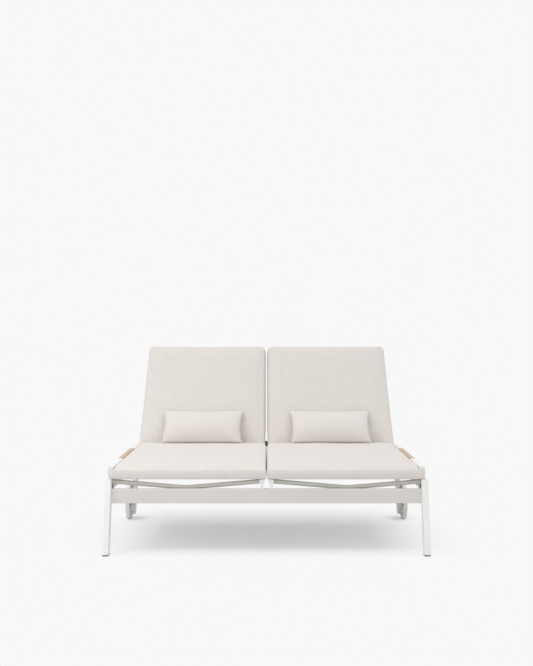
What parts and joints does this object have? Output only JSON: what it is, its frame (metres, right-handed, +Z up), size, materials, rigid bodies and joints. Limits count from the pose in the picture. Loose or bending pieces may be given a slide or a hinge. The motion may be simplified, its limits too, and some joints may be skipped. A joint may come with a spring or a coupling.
{
  "type": "double chaise lounger",
  "caption": "Two-person outdoor chaise lounger with reclining cushioned backs, lumbar pillows, raked legs and transport wheels.",
  "frame": {"origin": "on the floor, at the middle of the whole width and length", "axes": "+Z up, +Y from the foot end towards the head end, +X to the right of someone who looks from the foot end to the head end"},
  "size_m": [1.592, 1.9355, 0.9749],
  "materials": {
    "white_frame": "matte",
    "steel": "satin",
    "teak": "matte",
    "sling": "matte",
    "cushion_cover": "matte",
    "pillow_cover": "matte",
    "wheel_plastic": "matte",
    "tread": "matte",
    "glide_plastic": "matte",
    "cap_plastic": "matte"
  },
  "bodies": {
    "base": {"front_rail": "white_frame", "rear_rail": "white_frame", "end_rail": "white_frame", "end_bracket": "white_frame", "front_centre_posts": "white_frame", "front_glides": "glide_plastic", "end_caps": "cap_plastic", "hinge_bolts": "steel", "axle_bolts": "steel", "left_front_leg": "white_frame", "left_rear_leg": "white_frame", "left_side_rail": "white_frame", "left_inner_rail": "white_frame", "left_arm": "white_frame", "left_teak_insert": "teak", "left_front_spreader": "white_frame", "left_middle_spreader": "white_frame", "left_seat_sling": "sling", "left_seat_cushion": "cushion_cover", "left_racks": "white_frame", "right_front_leg": "white_frame", "right_rear_leg": "white_frame", "right_side_rail": "white_frame", "right_inner_rail": "white_frame", "right_arm": "white_frame", "right_teak_insert": "teak", "right_front_spreader": "white_frame", "right_middle_spreader": "white_frame", "right_seat_sling": "sling", "right_seat_cushion": "cushion_cover", "right_racks": "white_frame"},
    "left_back": {"left_back_inner_tube": "white_frame", "left_back_outer_tube": "white_frame", "left_back_bottom_tube": "white_frame", "left_back_middle_tube": "white_frame", "left_back_top_tube": "white_frame", "left_back_sling": "sling", "left_back_cushion": "cushion_cover", "left_pillow": "pillow_cover", "left_prop_lugs": "white_frame"},
    "left_prop": {"left_prop_arms": "white_frame", "left_prop_foot_bar": "steel"},
    "left_wheel_set": {"left_wheel": "wheel_plastic", "left_tyre": "tread", "left_hub_cap": "wheel_plastic"},
    "right_back": {"right_back_inner_tube": "white_frame", "right_back_outer_tube": "white_frame", "right_back_bottom_tube": "white_frame", "right_back_middle_tube": "white_frame", "right_back_top_tube": "white_frame", "right_back_sling": "sling", "right_back_cushion": "cushion_cover", "right_pillow": "pillow_cover", "right_prop_lugs": "white_frame"},
    "right_prop": {"right_prop_arms": "white_frame", "right_prop_foot_bar": "steel"},
    "right_wheel_set": {"right_wheel": "wheel_plastic", "right_tyre": "tread", "right_hub_cap": "wheel_plastic"}
  },
  "joints": [
    {"name": "left_back_recline", "type": "hinge", "parent": "base", "child": "left_back", "pos_m": [-0.3895, 0.309, 0.338], "axis": [1, 0, 0], "range_deg": [-49.6, 0]},
    {"name": "left_prop_swing", "type": "hinge", "parent": "left_back", "child": "left_prop", "pos_m": [-0.3895, 0.47103, 0.52838], "axis": [1, 0, 0], "range_deg": [0, 99.2]},
    {"name": "left_wheel_spin", "type": "hinge", "parent": "base", "child": "left_wheel_set", "pos_m": [-0.7819, 0.062, 0.1], "axis": [1, 0, 0], "continuous": true},
    {"name": "right_back_recline", "type": "hinge", "parent": "base", "child": "right_back", "pos_m": [0.3895, 0.309, 0.338], "axis": [1, 0, 0], "range_deg": [-49.6, 0]},
    {"name": "right_prop_swing", "type": "hinge", "parent": "right_back", "child": "right_prop", "pos_m": [0.3895, 0.47103, 0.52838], "axis": [1, 0, 0], "range_deg": [0, 99.2]},
    {"name": "right_wheel_spin", "type": "hinge", "parent": "base", "child": "right_wheel_set", "pos_m": [0.7819, 0.062, 0.1], "axis": [1, 0, 0], "continuous": true}
  ],
  "couplings": [
    {"joint": "left_prop_swing", "follows": "left_back_recline", "ratio": -2},
    {"joint": "right_prop_swing", "follows": "right_back_recline", "ratio": -2}
  ]
}
